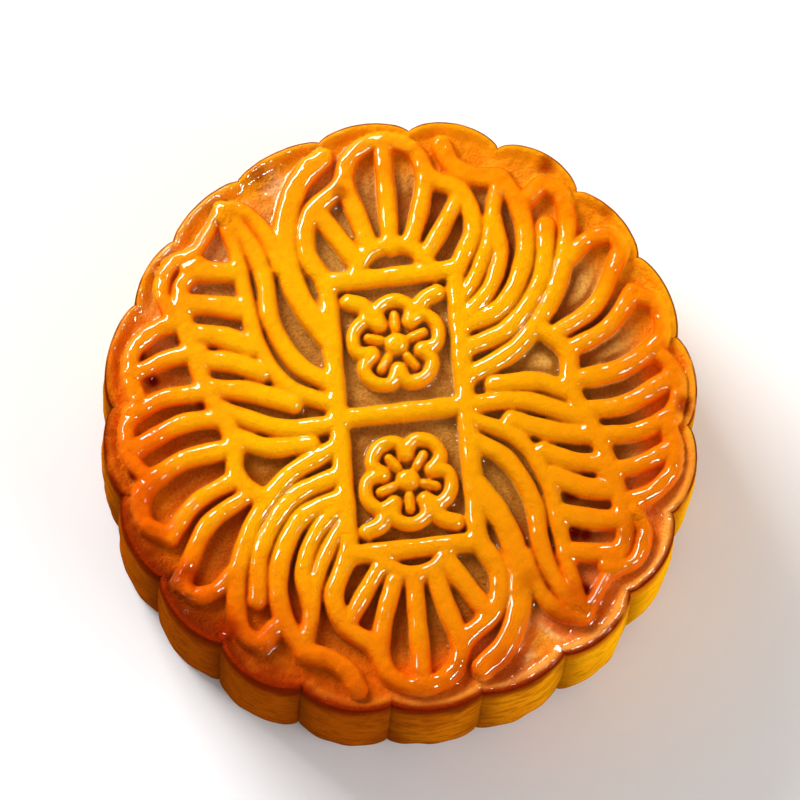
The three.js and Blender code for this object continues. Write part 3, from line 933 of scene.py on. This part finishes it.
class Crust(Graph):
    """The crust's nodes, with the measures of a place that its colours and its gloss go by."""

    def __init__(self):
        super().__init__("crust")
        self.raised = self.field("raised")
        self.hollow = self.field("hollow")
        self.inset = self.field("inset")
        self.cloud = self.noise(7, 3)
        self.patch = self.noise(4.5, 2)
        self.grain = self.noise(2.6, 4, 0.6, (1, 1, 1.25))
        self.mottle = self.noise(1.1, 4, 0.65)
        self.fine = self.noise(0.4, 3, 0.65)

        # How far out a place is, how far towards the hot side of the oven, and how far to either
        # side of a line from the back left to the front right. The first two wander with the noise.
        self.out = self.middle_distance()
        wander = self.plus(self.direction(-0.04, -0.08), self.around(self.cloud, 26))
        self.outer = self.step(14, 37, self.plus(self.out, wander))
        self.bake = self.plus(self.direction(-0.6, -0.8), self.around(self.cloud, 14))
        self.dim = self.step(-24, 22, self.bake)
        self.aside = self.calc("ABSOLUTE", self.direction(0.7, 0.7))

        # Parts of the top: its back left, its front, and the tips of the ornament.
        self.back_left = self.side(-0.7, 0.7, 16, 28)
        self.front = self.side(-0.2, -0.98, 10, 34, self.cloud, 14)
        tip = self.step(27.5, 34, self.plus(self.out, self.around(self.cloud, 8)))
        self.tip = self.times(tip, self.between(1.0, 0.3, self.back_left))


def ridge_colour(g):
    """Golden crowns, more orange further out, on orange slopes, with painted shade on the crowns towards
    the front right.
    """
    crown = g.mix(g.outer, *CROWN)
    crown = g.mix(g.tip, crown, g.mix(g.step(-14, 20, g.bake), *CROWN_TIP))
    # Painted shade: the crowns darken towards the front right, away from the key light.
    crown = g.over(crown, CROWN_SHADE_FRONT_RIGHT, g.side(0.7, -0.7, -12, 30), 0.7)
    slope = g.mix(g.outer, *SLOPE)
    ridge = g.mix(g.step(0.5, 0.97, g.raised), slope, crown)
    return g.over(ridge, slope, g.step(0.5, 0.72, g.mottle), 0.3)


def floor_colour(g):
    """Brown, speckled pits among the ridges, and smooth peach or golden bays between tips and rim."""
    pit = g.mix(g.dim, *PIT)
    pit = g.over(pit, g.mix(g.dim, *PIT_SPECKS), g.step(0.45, 0.62, g.fine), 0.5)
    golden = g.step(11, 23, g.aside)
    bay = g.mix(golden, g.mix(g.dim, *PEACH_BAY), GOLDEN_BAY)
    pale = g.mix(golden, g.mix(g.dim, *PALE_PEACH_BAY), PALE_GOLDEN_BAY)
    bay = g.mix(g.step(0.4, 0.64, g.patch), bay, pale)
    bay = g.over(bay, BAY_SPECKS, g.step(0.46, 0.62, g.fine), 0.4)
    return g.mix(g.step(28.5, 33, g.out), pit, bay)


def with_hollows(g, colour):
    """Paints shade at the feet of the ridges, and darkens the nooks between their tips and the rim."""
    shade = g.calc("MAXIMUM", g.step(11, 22, g.aside), g.side(1, 0, 2, 22))
    shade = g.times(g.between(0.5, 0.9, shade), g.step(33, 28, g.out))
    shade = g.times(shade, g.between(1.0, 0.4, g.side(-1, 0, 17, 27)))
    # Painted shade at the feet of the ridges, weaker near the rim and on the left.
    colour = g.over(colour, g.mix(g.outer, *RIDGE_FOOT_SHADE), g.step(0.07, 0.45, g.hollow), shade)
    nook = g.times(g.step(0.02, 0.35, g.hollow), g.step(28, 33, g.out))
    colour = g.over(colour, NOOK, nook, g.between(0.08, 0.63, g.front))
    nook = g.times(g.step(0.0, 0.16, g.hollow), g.step(29, 33, g.out))
    return g.over(colour, NOOK_FRONT_RIGHT, nook, g.side(0.75, -0.66, 8, 24), 0.75)


def with_rim(g, colour):
    """Lays a broken, brighter band along the inside of the rim."""
    back = g.side(0.1, 1, -8, 16, g.patch, 40)
    front = g.mix(g.side(0.85, -0.5, 2, 24), RIM_FRONT_LEFT, RIM_FRONT_RIGHT)
    band = g.step(2.6, 1.2, g.calc("SUBTRACT", g.inset, g.back_left))
    band = g.times(band, g.step(0.25, 0.5, g.cloud), g.between(0.75, 0.95, back))
    return g.mix(band, colour, g.mix(back, front, RIM_BACK))


def with_bake(g, colour):
    """Bakes the left and the front left darker, most at the rim and least on the crowns."""
    spared = g.between(1.0, 0.25, g.step(0.4, 0.8, g.raised))
    colour = g.over(colour, LEFT_BAKE, g.side(-0.94, -0.34, 16, 34, g.cloud, 14), spared, 0.45)
    baked = g.times(g.step(20, 38, g.bake), g.step(0.15, 0.5, g.patch))
    baked = g.times(baked, g.between(0.72, 1.0, g.step(4.2, 2.4, g.inset)))
    baked = g.times(baked, g.calc("MAXIMUM", g.between(0.5, 1.0, spared), g.tip))
    dark = g.mix(g.step(0.2, 0.7, g.raised), DARK_BAKE_FLOOR, DARK_BAKE_CROWN)
    colour = g.mix(baked, colour, dark)
    darkest = g.side(-0.72, -0.69, 31.5, 37.5, g.patch, 6)
    return g.over(colour, DARKEST_BAKE, darkest, g.step(4.6, 1.6, g.inset))


def with_edge(g, colour):
    """Draws the burnt line along the rim's edge, which is broad at the front and thin at the back."""
    colour = g.over(colour, EDGE, g.step(1.7, 0.2, g.inset), g.front)
    seam = g.times(g.step(1.0, 0.3, g.inset), g.side(-0.2, -0.98, -8, 14))
    colour = g.over(colour, SEAM, seam, g.step(0.2, 0.5, g.patch))
    return g.over(colour, CONTOUR, g.step(0.36, 0.12, g.inset), g.step(0.1, 0.55, g.patch))


def top_colour(g):
    """The floors and ridges of the top, and what the bake laid over them."""
    colour = g.mix(g.step(0.08, 0.5, g.raised), floor_colour(g), ridge_colour(g))
    for layer in (with_hollows, with_rim, with_bake, with_edge):
        colour = layer(g, colour)
    colour = g.over(colour, SCORCH, g.field("scorch"), g.step(0.24, 0.5, g.patch))
    return g.mix(g.field("pool"), colour, POOL)


def wall_colour(g):
    """Mottled gold, browner on the baked side, at the foot and under the rim, with painted shade in the
    creases.
    """
    wall = g.mix(g.step(2, 24, g.bake), *WALL)
    wall = g.mix(g.step(18, 34, g.bake), wall, WALL_DARK_BAKE)
    grain = g.mix(g.step(-10, 26, g.bake), *WALL_GRAIN)
    wall = g.over(wall, grain, g.step(0.44, 0.64, g.grain), 0.5)
    wall = g.over(wall, WALL_MOTTLE, g.step(0.46, 0.7, g.mottle), 0.3)
    # Painted shade in the creases between the lobes.
    wall = g.over(wall, WALL_CREASE_SHADE, g.field("crease"), 0.55)
    height = g.plus(g.direction(0, 0, 1), g.around(g.cloud, 7))
    wall = g.over(wall, g.mix(g.step(0, 26, g.bake), *WALL_FOOT), g.step(5, 0, height), 0.5)
    return g.over(wall, g.mix(g.step(2, 24, g.bake), *WALL_TOP), g.step(25.5, 31, height), 0.85)


def add_glaze(g):
    """Egg wash on the crowns and floors, worn off in patches, and whole on the wet spots."""
    flat = g.step(0.12, 0.02, g.raised)
    washed = g.times(g.calc("MAXIMUM", g.step(0.7, 0.92, g.raised), flat), g.step(0.25, 0.65, g.inset))
    worn = g.plus(g.times(g.step(4, 30, g.aside), 0.17), g.times(flat, 0.13))
    worn = g.calc("SUBTRACT", worn, g.times(g.back_left, 0.08))
    glaze = g.times(washed, g.step(0.32, 0.46, g.calc("SUBTRACT", g.mottle, worn)))
    g.put(g.calc("MAXIMUM", glaze, g.field("wet")), g.shader.inputs["Coat Weight"])


def add_bumps(g):
    """Fine grain, most of it on the floors, coarser grain on the wall, and wrinkles where it is wet."""
    rough = g.times(g.fine, g.between(1.0, 3.5, g.step(0.3, 0.0, g.raised)))
    rough = g.plus(rough, g.times(g.mottle, 2.5))
    rough = g.plus(rough, g.times(g.grain, g.field("wall")))
    rough = g.plus(rough, g.times(g.noise(0.8, 2, 0.5), g.field("wet"), 7.0))
    bump = g.nodes.new("ShaderNodeBump")
    bump.inputs["Strength"].default_value = BUMP_STRENGTH
    bump.inputs["Distance"].default_value = BUMP_DEPTH * MM
    g.put(rough, bump.inputs["Height"])
    g.put(bump.outputs["Normal"], g.shader.inputs["Normal"])


def crust_material():
    """One material for the whole cake. It knows the top from the wall by a field of the mesh."""
    g = Crust()
    colour = g.mix(g.field("wall"), top_colour(g), wall_colour(g))
    g.put(colour, g.shader.inputs["Base Color"])
    for name, value in CRUST_SHADER.items():
        g.shader.inputs[name].default_value = value
    add_glaze(g)
    add_bumps(g)
    return g.material


def floor_material():
    """A plain, pale, matt material."""
    g = Graph("floor")
    g.shader.inputs["Base Color"].default_value = (FLOOR_WHITE, FLOOR_WHITE, FLOOR_WHITE, 1)
    g.shader.inputs["Roughness"].default_value = FLOOR_ROUGHNESS
    return g.material


# ---- Stage, in metres ----
VIEW_TURN = math.radians(3)
VIEW_RISE = math.radians(80.5)
VIEW_DISTANCE = 1.0
LENS = 358.2

# The picture's width, and where the middle of the cake's top lies in it, in pixels.
PICTURE = 800
CAKE_MIDDLE = (400.4, 414.3)

FLOOR_SIZE = 6
FLOOR_WHITE = 0.9
FLOOR_ROUGHNESS = 0.8
SKY_STRENGTH = 0.42

# Each light's place to the right, away and up, its width and height, its power, and whether it is a
# glint, which only shows as a reflection in the glaze. The others only light the cake.
LIGHTS = {
    "key": ((-0.55, 0.65, 0.64), (0.5, 0.5), 13, False),
    "fill": ((0.8, -0.45, 0.26), (0.8, 0.8), 7, False),
    "glint": ((-0.58, 0.6, 0.64), (1.2, 0.3), 40, True),
    "low glint": ((0.6, -0.45, 0.6), (0.45, 0.12), 11, True),
}


def add_camera():
    """A camera that looks at the middle of the cake's top."""
    camera = bpy.data.objects.new("camera", bpy.data.cameras.new("camera"))
    bpy.context.scene.collection.objects.link(camera)
    towards = math.sin(VIEW_TURN) * PHOTO_RIGHT + math.cos(VIEW_TURN) * PHOTO_AWAY
    back = math.sin(VIEW_RISE) * UP - math.cos(VIEW_RISE) * towards
    right = PHOTO_AWAY.cross(back).normalized()
    aim = Vector((-CENTRE[0], -CENTRE[1], CAKE_HEIGHT)) * MM
    camera.location = aim + VIEW_DISTANCE * back
    camera.rotation_euler = Matrix((right, back.cross(right), back)).transposed().to_euler()
    camera.data.lens = LENS
    camera.data.shift_x = 0.5 - CAKE_MIDDLE[0] / PICTURE
    camera.data.shift_y = CAKE_MIDDLE[1] / PICTURE - 0.5
    bpy.context.scene.camera = camera


def add_light(name, place, size, power, glint):
    """A soft box that faces the cake."""
    light = bpy.data.objects.new(name, bpy.data.lights.new(name, "AREA"))
    bpy.context.scene.collection.objects.link(light)
    right, away, up = place
    light.location = right * PHOTO_RIGHT + away * PHOTO_AWAY + up * UP
    light.rotation_euler = light.location.to_track_quat("Z", "Y").to_euler()
    light.data.shape = "RECTANGLE"
    light.data.size, light.data.size_y = size
    light.data.energy = power
    light.visible_diffuse = not glint
    light.visible_glossy = glint


def add_sky():
    """An even, dim studio round the cake, which the glaze doesn't mirror."""
    world = bpy.data.worlds.new("studio")
    world.use_nodes = True
    world.node_tree.nodes["Background"].inputs["Color"].default_value = (1, 1, 1, 1)
    world.node_tree.nodes["Background"].inputs["Strength"].default_value = SKY_STRENGTH
    world.cycles_visibility.glossy = False
    bpy.context.scene.world = world


def add_stage():
    """The floor, the lights and the sky."""
    bpy.ops.mesh.primitive_plane_add(size=FLOOR_SIZE)
    floor = bpy.context.object
    floor.name = "floor"
    floor.data.materials.append(floor_material())
    for name, (place, size, power, glint) in LIGHTS.items():
        add_light(name, place, size, power, glint)
    add_sky()
    bpy.context.scene.view_settings.view_transform = "Standard"


cake = build_cake()
cake.data.materials.append(crust_material())
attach(cake, "root")
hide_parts("mooncake")
add_stage()
add_camera()
